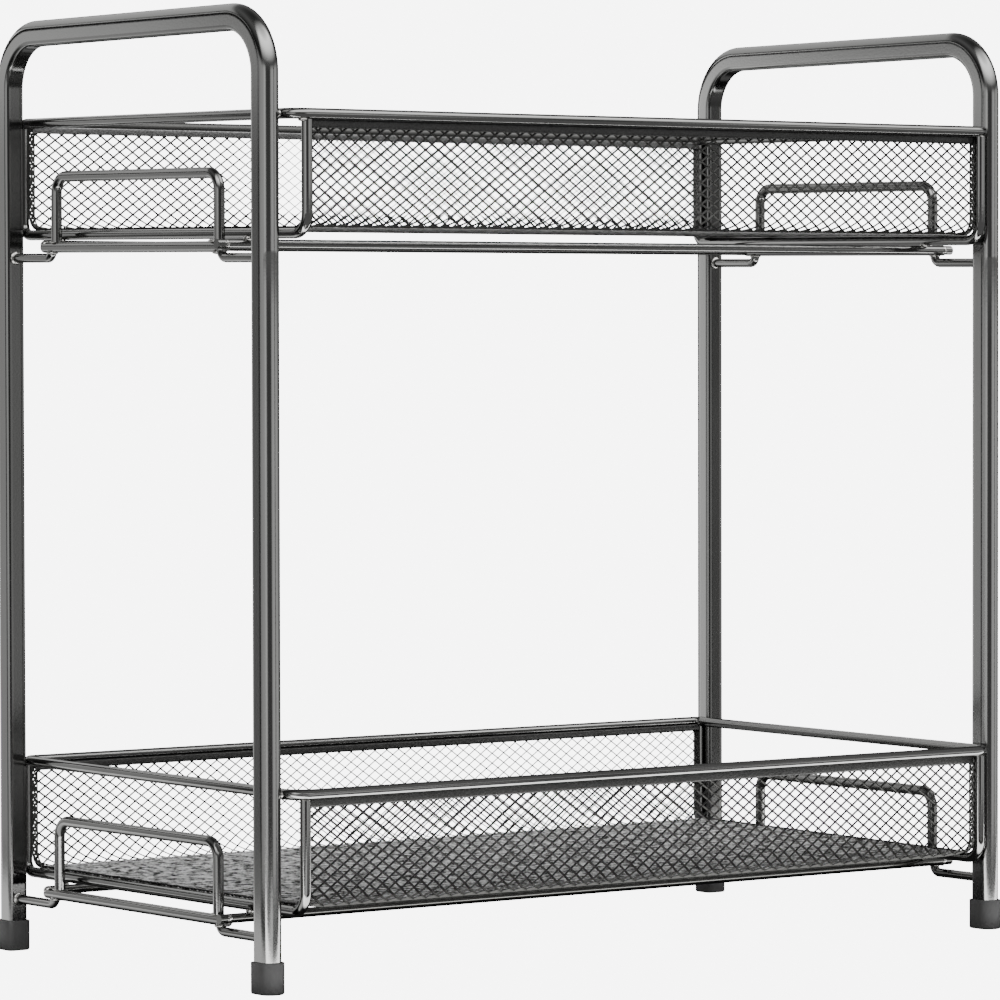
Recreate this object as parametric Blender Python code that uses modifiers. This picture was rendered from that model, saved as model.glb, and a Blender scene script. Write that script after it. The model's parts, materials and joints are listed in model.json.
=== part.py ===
"""Tiered spice rack: two mesh baskets carried between two inverted-U end frames.

Every length is in metres. X runs along the rack, Y runs from front to back and Z is up.
The sizes below drive the whole model. Pieces that touch keep SEAT between them.
"""

import math

import bmesh
import bpy
from mathutils import Vector

# Overall rack
POST_SPACING_X = 0.387
POST_SPACING_Y = 0.197

# D-shaped tube of the end frames: flat towards the inside of the U, domed outwards
TUBE_WIDTH = 0.009
TUBE_DEPTH = 0.011
TUBE_EDGE_RADIUS = 0.0017
FRAME_BEND_RADIUS = 0.0235
FRAME_BEND_STEPS = 8
DOME_STEPS = 8
TUBE_EDGE_STEPS = 2

# Plastic foot caps
CAP_HEIGHT = 0.013
CAP_WALL = 0.00095
CAP_FLOOR = 0.002
CAP_EDGE = 0.0005

# Round wires
RIM_DIAMETER = 0.0045
END_WIRE_DIAMETER = 0.004
BASE_WIRE_DIAMETER = 0.004
BASE_SIDE_DIAMETER = 0.0038
GUARD_DIAMETER = 0.004
BRACKET_DIAMETER = 0.004
RIM_RESOLUTION = 4
WIRE_RESOLUTION = 3
CORNER_STEPS = 5

# Heights of the two tiers
BASE_WIRE_HEIGHT = 0.028
TIER_SPACING = 0.2755
RIM_ABOVE_BASE = 0.0523
HANDLE_ABOVE_RIM = 0.0442

# Rim wire
FRONT_RAIL_OVERHANG = 0.0095
RIM_FRONT_RADIUS = 0.008
RIM_BACK_RADIUS = 0.004

# End wires round the two open ends of the mesh: their front legs stand closer together
END_WIRE_SPLAY = 0.005
END_WIRE_FRONT_RADIUS = 0.008
END_WIRE_BACK_RADIUS = 0.005
END_WIRE_TUCK = 0.0007

# Base loop, whose front cross wire runs on past the side wires
BASE_HALF_DEPTH = 0.069
BASE_FRONT_OVERHANG = 0.0025

# Side guards
GUARD_HALF_SPAN = 0.062
GUARD_RISE = 0.0303
GUARD_CORNER_RADIUS = 0.007

# Brackets from the posts to the base loop
BRACKET_REACH = 0.0635
BRACKET_BEND_RADIUS = 0.0034

# Expanded-metal sheet
STRAND = 0.0012
MESH_COLUMNS = 7
WALL_HALF_ROWS = 2
FLOOR_HALF_ROWS = 12
MESH_BEND_RADIUS = 0.0054

# Hem strips, the folded top edges of the sheet
HEM_HEIGHT = 0.0029
HEM_THICKNESS = 0.0015
HEM_EDGE = 0.0003
BACK_HEM_LAP = 0.0012

# Clearance kept between pieces that touch
SEAT = 0.0003

# Sizes that follow from those above
RACK_HEIGHT = BASE_WIRE_HEIGHT + TIER_SPACING + RIM_ABOVE_BASE + HANDLE_ABOVE_RIM
POST_X = POST_SPACING_X / 2
POST_Y = POST_SPACING_Y / 2
POST_INNER_X = POST_X - TUBE_WIDTH / 2
POST_INNER_Y = POST_Y - TUBE_DEPTH / 2
CAP_GROWTH = SEAT + CAP_WALL
RIM_RADIUS = RIM_DIAMETER / 2
END_WIRE_HALF = END_WIRE_DIAMETER / 2
RIM_X = POST_INNER_X - SEAT - RIM_RADIUS
RIM_FRONT_Y = -(POST_Y + FRONT_RAIL_OVERHANG)
RIM_BACK_Y = POST_Y
END_WIRE_BACK_X = RIM_X
END_WIRE_FRONT_X = END_WIRE_BACK_X - END_WIRE_SPLAY
END_WIRE_FRONT_Y = RIM_FRONT_Y + END_WIRE_TUCK
END_WIRE_BACK_Y = RIM_BACK_Y - END_WIRE_TUCK
END_WIRE_ABOVE_BASE = (BASE_WIRE_DIAMETER + END_WIRE_DIAMETER) / 2 + SEAT
MESH_OFFSET = END_WIRE_HALF + SEAT + STRAND / 2
MESH_FRONT_Y = END_WIRE_FRONT_Y + MESH_OFFSET
MESH_BACK_Y = END_WIRE_BACK_Y - MESH_OFFSET
MESH_FLOOR_ABOVE_BASE = END_WIRE_ABOVE_BASE + MESH_OFFSET
MESH_TOP_ABOVE_BASE = RIM_ABOVE_BASE - RIM_RADIUS - SEAT - STRAND / 2
HEM_TOP_ABOVE_BASE = RIM_ABOVE_BASE - RIM_RADIUS - SEAT
BRACKET_DROP = BASE_SIDE_DIAMETER / 2 + SEAT + BRACKET_BEND_RADIUS
FRONT_REACH = -RIM_FRONT_Y + RIM_RADIUS
BACK_REACH = POST_Y + TUBE_DEPTH / 2 + CAP_GROWTH
CENTRE_SHIFT = (FRONT_REACH - BACK_REACH) / 2

TIERS = {"lower": BASE_WIRE_HEIGHT, "upper": BASE_WIRE_HEIGHT + TIER_SPACING}
SIDES = {"left": -1, "right": 1}
FACES = {"front": -1, "back": 1}


def clear_scene():
    """Remove whatever the scene holds."""
    for item in list(bpy.data.objects):
        bpy.data.objects.remove(item, do_unlink=True)


def new_collection(name):
    """Return a fresh collection linked to the scene."""
    collection = bpy.data.collections.new(name)
    bpy.context.scene.collection.children.link(collection)
    return collection


def make_material(name, colour, metallic, roughness):
    """Principled material for one finish."""
    material = bpy.data.materials.new(name)
    material.use_nodes = True
    shader = material.node_tree.nodes["Principled BSDF"]
    shader.inputs["Base Color"].default_value = (*colour, 1.0)
    shader.inputs["Metallic"].default_value = metallic
    shader.inputs["Roughness"].default_value = roughness
    material.diffuse_color = (*colour, 1.0)
    return material


def tube_material():
    """Smooth dark nickel plate on the frame tubes."""
    return make_material("frame_plate", (0.16, 0.16, 0.155), 0.9, 0.28)


def wire_material():
    """Dark nickel plate on the round wires."""
    return make_material("wire_plate", (0.14, 0.14, 0.135), 0.9, 0.25)


def mesh_material():
    """Plated expanded metal, a little duller than the wires."""
    return make_material("mesh_plate", (0.11, 0.11, 0.105), 0.8, 0.4)


def cap_material():
    """Dark grey moulded plastic of the feet."""
    return make_material("foot_plastic", (0.09, 0.09, 0.09), 0.0, 0.55)


def fillet(before, corner, after, radius, steps):
    """Points of the arc that rounds one corner of a path."""
    back = (before - corner).normalized()
    ahead = (after - corner).normalized()
    half_angle = back.angle(ahead) / 2
    setback = radius / math.tan(half_angle)
    centre = corner + (back + ahead).normalized() * (radius / math.sin(half_angle))
    start = corner + back * setback - centre
    end = corner + ahead * setback - centre
    sweep = start.angle(end)
    points = []
    for step in range(steps + 1):
        turn = sweep * step / steps
        along = math.sin(sweep - turn) / math.sin(sweep)
        across = math.sin(turn) / math.sin(sweep)
        points.append(centre + start * along + end * across)
    return points


def rounded_path(corners, radii, steps, closed=False):
    """Path through the corners, each rounded to its own radius; 0 keeps a point as it is."""
    corners = [Vector(corner) for corner in corners]
    path = []
    for index, corner in enumerate(corners):
        if radii[index] == 0:
            path.append(corner)
            continue
        before = corners[index - 1]
        after = corners[(index + 1) % len(corners)]
        path.extend(fillet(before, corner, after, radii[index], steps))
    if closed and (path[0] - path[-1]).length < SEAT / 3:
        path.pop()
    return path


def poly_curve(name, points, dimensions="3D", closed=False):
    """Curve data with one straight-edged spline."""
    curve = bpy.data.curves.new(name, "CURVE")
    curve.dimensions = dimensions
    spline = curve.splines.new("POLY")
    spline.points.add(len(points) - 1)
    for point, place in zip(spline.points, points):
        point.co = (*place, 1.0) if len(place) == 3 else (*place, 0.0, 1.0)
    spline.use_cyclic_u = closed
    return curve


def add_object(name, data, material, collection, parent):
    """Link an object under the rack's origin and give it its finish."""
    item = bpy.data.objects.new(name, data)
    item.parent = parent
    data.materials.append(material)
    collection.objects.link(item)
    return item


def wire_curve(name, points, diameter, resolution, closed=False):
    """Curve data of a round wire along a path, with filled ends."""
    curve = poly_curve(name, points, closed=closed)
    curve.bevel_depth = diameter / 2
    curve.bevel_resolution = resolution
    curve.use_fill_caps = True
    return curve


def make_wire(name, points, diameter, resolution, material, rack, closed=False):
    """Round wire along a path."""
    curve = wire_curve(name, points, diameter, resolution, closed)
    return add_object(name, curve, material, *rack)


def tube_outline(growth=0.0):
    """D-shaped section, grown by a margin; the dome faces +X of the outline."""
    half = TUBE_WIDTH / 2
    dome_centre = TUBE_DEPTH / 2 - half
    outline = []
    for step in range(DOME_STEPS + 1):
        turn = math.pi * step / DOME_STEPS - math.pi / 2
        radius = half + growth
        outline.append((dome_centre + radius * math.cos(turn), radius * math.sin(turn)))
    edge = TUBE_EDGE_RADIUS
    for side, start in ((1, math.pi / 2), (-1, math.pi)):
        for step in range(TUBE_EDGE_STEPS + 1):
            turn = start + (math.pi / 2) * step / TUBE_EDGE_STEPS
            x = -TUBE_DEPTH / 2 + edge + (edge + growth) * math.cos(turn)
            y = side * (half - edge) + (edge + growth) * math.sin(turn)
            outline.append((x, y))
    return outline


def make_end_frame(name, side, profile, material, rack):
    """Inverted U: one D-shaped tube bent up, over and down again.

    The path lies in the curve's own XY plane, which the rotation stands up as world YZ.
    """
    foot = CAP_FLOOR + SEAT
    centre_top = RACK_HEIGHT - TUBE_DEPTH / 2
    corners = [
        (POST_Y, foot, 0.0),
        (POST_Y, centre_top, 0.0),
        (-POST_Y, centre_top, 0.0),
        (-POST_Y, foot, 0.0),
    ]
    radii = [0, FRAME_BEND_RADIUS, FRAME_BEND_RADIUS, 0]
    path = rounded_path(corners, radii, FRAME_BEND_STEPS)
    curve = poly_curve(name, path, dimensions="2D")
    curve.bevel_mode = "OBJECT"
    curve.bevel_object = profile
    curve.use_fill_caps = True
    sweep = bpy.data.objects.new(name + "_sweep", curve)
    rack[0].objects.link(sweep)
    frame = add_object(name, mesh_from_curve(sweep), material, *rack)
    frame.location = (side * POST_X, 0.0, 0.0)
    frame.rotation_euler = (math.pi / 2, 0.0, math.pi / 2)
    return frame


def mesh_from_curve(curve_object):
    """Turn a curve object into welded mesh data and remove the curve."""
    bpy.context.view_layer.update()
    evaluated = curve_object.evaluated_get(bpy.context.evaluated_depsgraph_get())
    mesh = bpy.data.meshes.new_from_object(evaluated)
    work = bmesh.new()
    work.from_mesh(mesh)
    bmesh.ops.remove_doubles(work, verts=work.verts, dist=SEAT / 30)
    bmesh.ops.recalc_face_normals(work, faces=work.faces)
    work.to_mesh(mesh)
    work.free()
    bpy.data.objects.remove(curve_object, do_unlink=True)
    return mesh


def outline_prism(name, outline, bottom, top, collection):
    """Upright prism over a flat outline, as mesh data."""
    curve = poly_curve(name, outline, dimensions="2D", closed=True)
    curve.fill_mode = "BOTH"
    curve.extrude = (top - bottom) / 2
    item = bpy.data.objects.new(name, curve)
    collection.objects.link(item)
    mesh = mesh_from_curve(item)
    lift = Vector((0.0, 0.0, (top + bottom) / 2))
    for vertex in mesh.vertices:
        vertex.co += lift
    return mesh


def make_foot_cap(name, side, face, material, rack, cutters):
    """Plastic cup pushed over the end of one post."""
    collection, parent = rack
    turn = math.pi / 2 * face
    place = (side * POST_X, face * POST_Y, 0.0)
    body = outline_prism(name, tube_outline(CAP_GROWTH), 0.0, CAP_HEIGHT, collection)
    cap = add_object(name, body, material, collection, parent)
    pocket_name = name + "_pocket"
    pocket_mesh = outline_prism(pocket_name, tube_outline(SEAT), CAP_FLOOR, CAP_HEIGHT * 2, cutters)
    pocket = bpy.data.objects.new(pocket_name, pocket_mesh)
    pocket.parent = parent
    pocket.hide_render = True
    pocket.display_type = "WIRE"
    cutters.objects.link(pocket)
    for item in (cap, pocket):
        item.location = place
        item.rotation_euler = (0.0, 0.0, turn)
    edge = cap.modifiers.new("rounded_edges", "BEVEL")
    edge.width = CAP_EDGE
    edge.segments = 1
    edge.limit_method = "ANGLE"
    edge.angle_limit = math.radians(60)
    hollow = cap.modifiers.new("post_pocket", "BOOLEAN")
    hollow.operation = "DIFFERENCE"
    hollow.solver = "EXACT"
    hollow.object = pocket
    return cap


def make_rim(name, base, material, rack):
    """Closed rectangular wire that carries the top edge of one basket."""
    height = base + RIM_ABOVE_BASE
    corners = [
        (-RIM_X, RIM_FRONT_Y, height),
        (RIM_X, RIM_FRONT_Y, height),
        (RIM_X, RIM_BACK_Y, height),
        (-RIM_X, RIM_BACK_Y, height),
    ]
    radii = [RIM_FRONT_RADIUS, RIM_FRONT_RADIUS, RIM_BACK_RADIUS, RIM_BACK_RADIUS]
    path = rounded_path(corners, radii, CORNER_STEPS, closed=True)
    return make_wire(name, path, RIM_DIAMETER, RIM_RESOLUTION, material, rack, closed=True)


def make_end_wire(name, side, base, material, rack):
    """U-shaped wire down the front wall, under the floor and up the back wall."""
    top = base + RIM_ABOVE_BASE - RIM_RADIUS - SEAT
    bottom = base + END_WIRE_ABOVE_BASE
    front_x = side * END_WIRE_FRONT_X
    back_x = side * END_WIRE_BACK_X
    corners = [
        (front_x, END_WIRE_FRONT_Y, top),
        (front_x, END_WIRE_FRONT_Y, bottom),
        (back_x, END_WIRE_BACK_Y, bottom),
        (back_x, END_WIRE_BACK_Y, top),
    ]
    radii = [0, END_WIRE_FRONT_RADIUS, END_WIRE_BACK_RADIUS, 0]
    path = rounded_path(corners, radii, CORNER_STEPS)
    return make_wire(name, path, END_WIRE_DIAMETER, WIRE_RESOLUTION, material, rack)


def make_base_loop(name, base, material, rack, cutters):
    """Rectangle of four straight wires under one basket, welded into one piece.

    The side wires lie between the posts and end inside the cross wires. The back cross
    wire ends flush with them and the front one runs on past them.
    """
    collection, parent = rack
    half = BASE_HALF_DEPTH
    flush = POST_X + BASE_WIRE_DIAMETER / 2
    past = flush + BASE_FRONT_OVERHANG
    cross, between = BASE_WIRE_DIAMETER, BASE_SIDE_DIAMETER
    runs = {
        "front": (cross, [(-past, -half, base), (past, -half, base)]),
        "left": (between, [(-POST_X, -half, base), (-POST_X, half, base)]),
        "right": (between, [(POST_X, -half, base), (POST_X, half, base)]),
        "back": (cross, [(-flush, half, base), (flush, half, base)]),
    }
    wires = []
    for run_name, (diameter, ends) in runs.items():
        curve = wire_curve(f"{name}_{run_name}", ends, diameter, WIRE_RESOLUTION)
        straight = bpy.data.objects.new(curve.name, curve)
        collection.objects.link(straight)
        wires.append(mesh_from_curve(straight))
    loop = add_object(name, wires[0], material, collection, parent)
    for mesh in wires[1:]:
        run = bpy.data.objects.new(mesh.name, mesh)
        run.parent = parent
        run.hide_render = True
        run.display_type = "WIRE"
        cutters.objects.link(run)
        weld = loop.modifiers.new("weld", "BOOLEAN")
        weld.operation = "UNION"
        weld.solver = "EXACT"
        weld.object = run
    return loop


def make_side_guard(name, side, base, material, rack):
    """Inverted U standing on the short side of a base loop, which keeps jars in."""
    foot = base + BASE_SIDE_DIAMETER / 2 + SEAT
    top = base + GUARD_RISE
    x = side * POST_X
    corners = [
        (x, -GUARD_HALF_SPAN, foot),
        (x, -GUARD_HALF_SPAN, top),
        (x, GUARD_HALF_SPAN, top),
        (x, GUARD_HALF_SPAN, foot),
    ]
    radii = [0, GUARD_CORNER_RADIUS, GUARD_CORNER_RADIUS, 0]
    path = rounded_path(corners, radii, CORNER_STEPS)
    return make_wire(name, path, GUARD_DIAMETER, WIRE_RESOLUTION, material, rack)


def make_bracket(name, side, face, base, material, rack):
    """Short wire from the flat of a post, bent up to the underside of the base loop."""
    height = base - BRACKET_DROP
    tip = base - BASE_SIDE_DIAMETER / 2 - SEAT
    x = side * POST_X
    corners = [
        (x, face * (POST_INNER_Y - SEAT), height),
        (x, face * BRACKET_REACH, height),
        (x, face * BRACKET_REACH, tip + SEAT / 10),
    ]
    path = rounded_path(corners, [0, BRACKET_BEND_RADIUS, 0], CORNER_STEPS)
    path.pop()
    return make_wire(name, path, BRACKET_DIAMETER, WIRE_RESOLUTION, material, rack)


def sheet_section(base):
    """Places of the half rows of diamonds, from the front top edge to the back top edge."""
    top = base + MESH_TOP_ABOVE_BASE
    floor = base + MESH_FLOOR_ABOVE_BASE
    bend = MESH_BEND_RADIUS
    front = []
    back = []
    for row in range(WALL_HALF_ROWS + 1):
        height = top + (floor + bend - top) * row / WALL_HALF_ROWS
        front.append((MESH_FRONT_Y, height))
        back.append((MESH_BACK_Y, height))
    level = []
    for row in range(FLOOR_HALF_ROWS + 1):
        span = MESH_BACK_Y - MESH_FRONT_Y - 2 * bend
        level.append((MESH_FRONT_Y + bend + span * row / FLOOR_HALF_ROWS, floor))
    return front + level + back[::-1]


def sheet_half_length(y):
    """Half of the sheet's length along X at one depth, between the splayed end wires."""
    back_share = (y - END_WIRE_FRONT_Y) / (END_WIRE_BACK_Y - END_WIRE_FRONT_Y)
    return END_WIRE_FRONT_X + (END_WIRE_BACK_X - END_WIRE_FRONT_X) * back_share


def make_mesh_basket(name, base, material, rack):
    """One sheet of diamond mesh bent to a U: front wall, floor and back wall.

    A grid is poked and its first edges are dissolved, which leaves a diamond across each
    of them. The grid's rows are then laid along the bent section, and a Wireframe
    modifier turns the diamonds' sides into strands.
    """
    section = sheet_section(base)
    rows = (len(section) - 1) // 2
    work = bmesh.new()
    bmesh.ops.create_grid(work, x_segments=MESH_COLUMNS, y_segments=rows, size=1.0)
    grid_edges = [edge for edge in work.edges if not edge.is_boundary]
    bmesh.ops.poke(work, faces=work.faces[:])
    bmesh.ops.dissolve_edges(work, edges=grid_edges, use_verts=False, use_face_split=False)
    for vertex in work.verts:
        half_row = round((vertex.co.y + 1.0) * rows)
        y, z = section[half_row]
        vertex.co = (vertex.co.x * sheet_half_length(y), y, z)
    bmesh.ops.recalc_face_normals(work, faces=work.faces)
    mesh = bpy.data.meshes.new(name)
    work.to_mesh(mesh)
    work.free()
    basket = add_object(name, mesh, material, *rack)
    strands = basket.modifiers.new("strands", "WIREFRAME")
    strands.thickness = STRAND
    strands.offset = 0.0
    strands.use_even_offset = True
    strands.use_boundary = True
    strands.use_replace = True
    return basket


def make_hem(name, face, base, material, rack):
    """Folded strip along the top edge of the sheet, on the front side of its wall.

    The front hem is tucked under the rim wire. The back one lies inside the back wall and
    laps a little way up the back rail.
    """
    wall = MESH_FRONT_Y if face < 0 else MESH_BACK_Y
    y = wall - (STRAND / 2 + SEAT + HEM_THICKNESS / 2)
    half_length = sheet_half_length(wall) - END_WIRE_HALF - SEAT
    top = base + HEM_TOP_ABOVE_BASE
    if face > 0:
        top += BACK_HEM_LAP + SEAT
    work = bmesh.new()
    bmesh.ops.create_cube(work, size=1.0)
    size = Vector((2 * half_length, HEM_THICKNESS, HEM_HEIGHT))
    bmesh.ops.scale(work, verts=work.verts, vec=size)
    bmesh.ops.translate(work, verts=work.verts, vec=(0.0, y, top - HEM_HEIGHT / 2))
    mesh = bpy.data.meshes.new(name)
    work.to_mesh(mesh)
    work.free()
    hem = add_object(name, mesh, material, *rack)
    edge = hem.modifiers.new("rolled_edges", "BEVEL")
    edge.width = HEM_EDGE
    edge.segments = 1
    return hem


def build_end_frames(rack, guides):
    """Two end frames with a plastic cap on each foot."""
    collection, parent = rack
    profile_curve = poly_curve("tube_profile", tube_outline(), dimensions="2D", closed=True)
    profile = bpy.data.objects.new("tube_profile", profile_curve)
    profile.hide_render = True
    profile.display_type = "WIRE"
    guides.objects.link(profile)
    plate = tube_material()
    plastic = cap_material()
    for side_name, side in SIDES.items():
        make_end_frame(f"{side_name}_end_frame", side, profile, plate, rack)
        for face_name, face in FACES.items():
            name = f"foot_cap_{face_name}_{side_name}"
            make_foot_cap(name, side, face, plastic, rack, guides)


def build_tier(tier, base, wire, mesh, rack, guides):
    """Basket, its wires and what holds it to the posts, for one tier."""
    make_rim(f"{tier}_rim_wire", base, wire, rack)
    make_base_loop(f"{tier}_base_loop", base, wire, rack, guides)
    make_mesh_basket(f"{tier}_mesh_basket", base, mesh, rack)
    for face_name, face in FACES.items():
        make_hem(f"{tier}_{face_name}_hem", face, base, mesh, rack)
    for side_name, side in SIDES.items():
        make_end_wire(f"{tier}_{side_name}_end_wire", side, base, wire, rack)
        make_side_guard(f"{tier}_{side_name}_side_guard", side, base, wire, rack)
        for face_name, face in FACES.items():
            name = f"{tier}_{face_name}_{side_name}_bracket"
            make_bracket(name, side, face, base, wire, rack)


def main():
    """Build the whole rack about an empty that stands under its middle."""
    clear_scene()
    parts = new_collection("tiered_spice_rack")
    guides = new_collection("cutters_and_guides")
    guides.hide_render = True
    origin = bpy.data.objects.new("rack_origin", None)
    origin.location = (0.0, CENTRE_SHIFT, 0.0)
    parts.objects.link(origin)
    rack = (parts, origin)
    build_end_frames(rack, guides)
    wire = wire_material()
    mesh = mesh_material()
    for tier, base in TIERS.items():
        build_tier(tier, base, wire, mesh, rack, guides)
    bpy.context.view_layer.update()
    print("rack built:", len([item for item in parts.objects if item.type != "EMPTY"]), "pieces")


main()
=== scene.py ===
# %% [markdown]
# # A tiered spice rack
#
# Two trays of fine steel mesh hang between two bent-tube end frames. The rack is welded
# from tube, wire and expanded metal and plated in one dark, glossy finish. This lesson
# takes the engineered model as a fixed frame and gives it the surface that the real rack
# has: smooth tube and wire, a fine net, weld beads and plastic feet.

# %% Load the engineered frame
import json
import math

import bpy
from mathutils import Matrix, Vector

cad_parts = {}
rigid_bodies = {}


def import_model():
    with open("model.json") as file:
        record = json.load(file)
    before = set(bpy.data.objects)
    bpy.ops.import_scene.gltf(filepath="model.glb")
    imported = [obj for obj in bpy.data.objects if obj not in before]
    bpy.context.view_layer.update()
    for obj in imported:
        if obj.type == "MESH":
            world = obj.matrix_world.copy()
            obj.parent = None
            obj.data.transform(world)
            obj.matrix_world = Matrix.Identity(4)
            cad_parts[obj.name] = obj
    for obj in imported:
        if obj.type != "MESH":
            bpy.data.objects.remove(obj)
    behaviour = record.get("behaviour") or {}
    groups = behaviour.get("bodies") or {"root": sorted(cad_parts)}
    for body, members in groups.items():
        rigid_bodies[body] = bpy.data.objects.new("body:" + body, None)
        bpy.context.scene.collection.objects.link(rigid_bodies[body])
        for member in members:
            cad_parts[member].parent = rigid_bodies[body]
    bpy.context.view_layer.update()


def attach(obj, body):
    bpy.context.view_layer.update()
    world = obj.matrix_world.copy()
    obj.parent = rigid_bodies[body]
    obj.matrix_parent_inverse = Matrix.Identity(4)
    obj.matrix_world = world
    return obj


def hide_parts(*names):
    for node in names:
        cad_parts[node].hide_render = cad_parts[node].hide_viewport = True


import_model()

cad_names = {item.name for item in bpy.data.objects}

# %% [markdown]
# All lengths are in metres. The frame's origin lies under the middle of the rack's
# bounding box, which is 2.5 mm in front of the middle of its feet, so every depth (Y)
# below carries that shift. The sizes are named once, here, and every piece works its own
# place out from them, so that a changed size moves all that touches it.

# %% Sizes that the rack was made to
SHIFT = 0.0025
POST_X, POST_Y = 0.1935, 0.0985
TUBE_WIDTH, TUBE_DEPTH = 0.009, 0.011
RACK_HEIGHT = 0.400
RIM_WIRE, THIN_WIRE, GUARD_WIRE = 0.0045, 0.004, 0.0046
SIDE_DROP = {"left": 0.0011, "right": 0.0001}
SEAT = 0.0003
TIERS = {"lower": 0.028, "upper": 0.3035}
SIDES = {"left": -1, "right": 1}
FACES = {"front": -1, "back": 1}
RIM_UP = 0.0523
RIM_X = POST_X - TUBE_WIDTH / 2 - SEAT - RIM_WIRE / 2
RIM_FRONT, RIM_BACK = -0.108, 0.0985
END_FRONT, END_BACK = RIM_FRONT + 0.0007, RIM_BACK - 0.0007
END_UP = THIN_WIRE + SEAT
END_SPLAY = 0.005
BASE_Y = 0.069
BRACKET_DROP, BRACKET_REACH = 0.0056, 0.0635
FRAME_BEND = 0.0235


def share(value):
    """A number kept between nought and one."""
    return min(1.0, max(0.0, value))


def end_x(y):
    """How far out the splayed end wires stand at one depth."""
    back_share = (y - SHIFT - END_FRONT) / (END_BACK - END_FRONT)
    return RIM_X - END_SPLAY * (1.0 - back_share)


print("tiers at", TIERS, "end wires at", round(end_x(END_FRONT + SHIFT), 4), round(end_x(END_BACK + SHIFT), 4))

# %% [markdown]
# The camera comes first, because every later choice is judged through it. Its place was
# worked out from the edges of the rack: it stands 2.3 m away, at the height of a seated
# person's eye above the table, with a long lens. A camera looks down its own -Z axis, so
# it is turned up by 90 degrees, tilted, rolled a little and swung to the right.

# %% The camera
CAMERA_PLACE, LENS, SENSOR = (-1.40276, -1.87832 + SHIFT, 0.26893), 192.54, 36.0
yaw, pitch, roll = 0.64029, -0.032386, -0.0021
turn = (Matrix.Rotation(-yaw, 4, "Z") @ Matrix.Rotation(math.pi / 2 + pitch, 4, "X")
        @ Matrix.Rotation(roll, 4, "Z"))
bpy.ops.object.select_all(action="DESELECT")
bpy.ops.object.camera_add()
camera = bpy.context.object
camera.name = "studio_camera"
camera.matrix_world = Matrix.Translation(CAMERA_PLACE) @ turn
camera.data.lens = LENS
camera.data.sensor_width = SENSOR
camera.data.clip_end = 50.0
bpy.context.scene.camera = camera
print("camera", [round(v, 3) for v in camera.location], camera.data.lens)

# %% [markdown]
# Shader maths reads best as ordinary arithmetic. This small class wraps one output
# socket, so that `mask * 0.3 + 0.1` adds the Math nodes by itself. Any other kind of node
# comes from a single method, which takes the node's type, its settings and its inputs.

# %% A socket that can be used in sums
class Value:
    def __init__(self, finish, socket):
        self.finish, self.socket = finish, socket

    def sum(self, operation, first, second):
        return self.finish.node("ShaderNodeMath", {"operation": operation}, {0: first, 1: second})

    def __add__(self, other):
        return self.sum("ADD", self, other)

    def __radd__(self, other):
        return self.sum("ADD", other, self)

    def __sub__(self, other):
        return self.sum("SUBTRACT", self, other)

    def __rsub__(self, other):
        return self.sum("SUBTRACT", other, self)

    def __mul__(self, other):
        return self.sum("MULTIPLY", self, other)

    def __rmul__(self, other):
        return self.sum("MULTIPLY", other, self)

    def larger(self, other):
        return self.sum("MAXIMUM", self, other)

    def size(self):
        return self.sum("ABSOLUTE", self, 0.0)

    def root(self):
        return self.sum("SQRT", self, 0.0)


# %% A finish, which is a material or a world with its nodes
class Finish:
    def __init__(self, name, library=bpy.data.materials, shader="Principled BSDF"):
        self.material = library.new(name)
        self.material.use_nodes = True
        self.tree = self.material.node_tree
        self.shader = self.tree.nodes[shader]

    def node(self, kind, settings=None, inputs=None, output=0):
        made = self.tree.nodes.new(kind)
        for key, value in (settings or {}).items():
            if key == "stops":
                ramp = made.color_ramp.elements
                while len(ramp) < len(value):
                    ramp.new(0.5)
                for element, (place, colour) in zip(ramp, value):
                    tone = colour if isinstance(colour, tuple) else (colour,) * 3
                    element.position, element.color = place, (*tone, 1.0)
            else:
                setattr(made, key, value)
        for key, value in (inputs or {}).items():
            self.feed(made.inputs[key], value)
        return Value(self, made.outputs[output])

    def feed(self, socket, value):
        if isinstance(value, Value):
            self.tree.links.new(value.socket, socket)
        else:
            socket.default_value = value

    def set(self, **values):
        for key, value in values.items():
            self.feed(self.shader.inputs[key.replace("_", " ")], value)

    def place(self):
        return self.node("ShaderNodeTexCoord", output="Object")

    def parts(self, vector):
        first = self.node("ShaderNodeSeparateXYZ", inputs={0: vector})
        return [Value(self, first.socket.node.outputs[axis]) for axis in "XYZ"]

    def noise(self, vector, scale, detail=3.0):
        return self.node("ShaderNodeTexNoise", inputs={"Vector": vector, "Scale": scale, "Detail": detail})

    def tones(self, factor, stops):
        return self.node("ShaderNodeValToRGB", {"stops": stops}, {"Fac": factor})

    def shades(self, factor, dark, light):
        return self.tones(factor, [(0.0, dark), (1.0, light)])

    def between(self, value, low, high, first=0.0, last=1.0, kind="LINEAR"):
        """Goes from the first number to the last while the value goes from low to high."""
        return self.node("ShaderNodeMapRange", {"interpolation_type": kind},
                         {0: value, 1: low, 2: high, 3: first, 4: last})

    def bump(self, height, strength, distance):
        return self.node("ShaderNodeBump", inputs={"Height": height, "Strength": strength, "Distance": distance})

    def grain(self, spot, scale, strength=0.06, distance=0.0002):
        """The unevenness that is too fine to see except in a highlight."""
        self.set(Normal=self.bump(self.noise(spot, scale, 2.0), strength, distance))
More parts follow.
